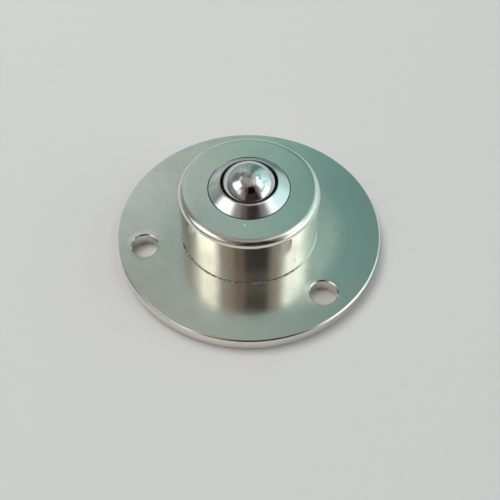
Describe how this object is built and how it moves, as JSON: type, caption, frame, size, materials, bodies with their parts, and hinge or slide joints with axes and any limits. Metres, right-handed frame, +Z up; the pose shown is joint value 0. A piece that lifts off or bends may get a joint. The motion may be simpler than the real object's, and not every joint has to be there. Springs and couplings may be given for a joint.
{
  "type": "flange-mounted ball transfer unit",
  "caption": "Round-flanged ball transfer unit: turned steel body, conical cover ring and a steel ball that rolls in any direction.",
  "frame": {"origin": "centre of the flange's flat underside", "axes": "+Z up along the ball's axis, away from the mounting surface; the first flange hole lies on +Y, the other two 120 degrees either side"},
  "size_m": [0.045, 0.045, 0.017],
  "materials": {
    "housing_steel": "nickel-plated turned steel, satin, with fine concentric turning marks",
    "hardened_steel": "hardened and ground steel, light oil film",
    "cover_steel": "bright turned steel",
    "ball_steel": "polished bearing steel, mirror"
  },
  "bodies": {
    "housing": {"housing": "housing_steel", "ball_cup": "hardened_steel", "cover_ring": "cover_steel"},
    "support_balls": {"support_ball_01": "ball_steel", "support_ball_02": "ball_steel", "support_ball_03": "ball_steel", "support_ball_04": "ball_steel", "support_ball_05": "ball_steel", "support_ball_06": "ball_steel", "support_ball_07": "ball_steel", "support_ball_08": "ball_steel", "support_ball_09": "ball_steel", "support_ball_10": "ball_steel", "support_ball_11": "ball_steel", "support_ball_12": "ball_steel", "support_ball_13": "ball_steel", "support_ball_14": "ball_steel", "support_ball_15": "ball_steel", "support_ball_16": "ball_steel", "support_ball_17": "ball_steel", "support_ball_18": "ball_steel", "support_ball_19": "ball_steel", "support_ball_20": "ball_steel", "support_ball_21": "ball_steel", "support_ball_22": "ball_steel", "support_ball_23": "ball_steel", "support_ball_24": "ball_steel", "support_ball_25": "ball_steel", "support_ball_26": "ball_steel", "support_ball_27": "ball_steel", "support_ball_28": "ball_steel", "support_ball_29": "ball_steel", "support_ball_30": "ball_steel", "support_ball_31": "ball_steel", "support_ball_32": "ball_steel", "support_ball_33": "ball_steel"},
    "main_ball": {"main_ball": "ball_steel"}
  },
  "joints": [
    {"name": "bed_turn", "type": "hinge", "parent": "housing", "child": "support_balls", "pos_m": [0, 0, 0.01224], "axis": [0, 0, 1], "continuous": true},
    {"name": "ball_roll", "type": "hinge", "parent": "support_balls", "child": "main_ball", "pos_m": [0, 0, 0.01224], "axis": [1, 0, 0], "continuous": true}
  ]
}
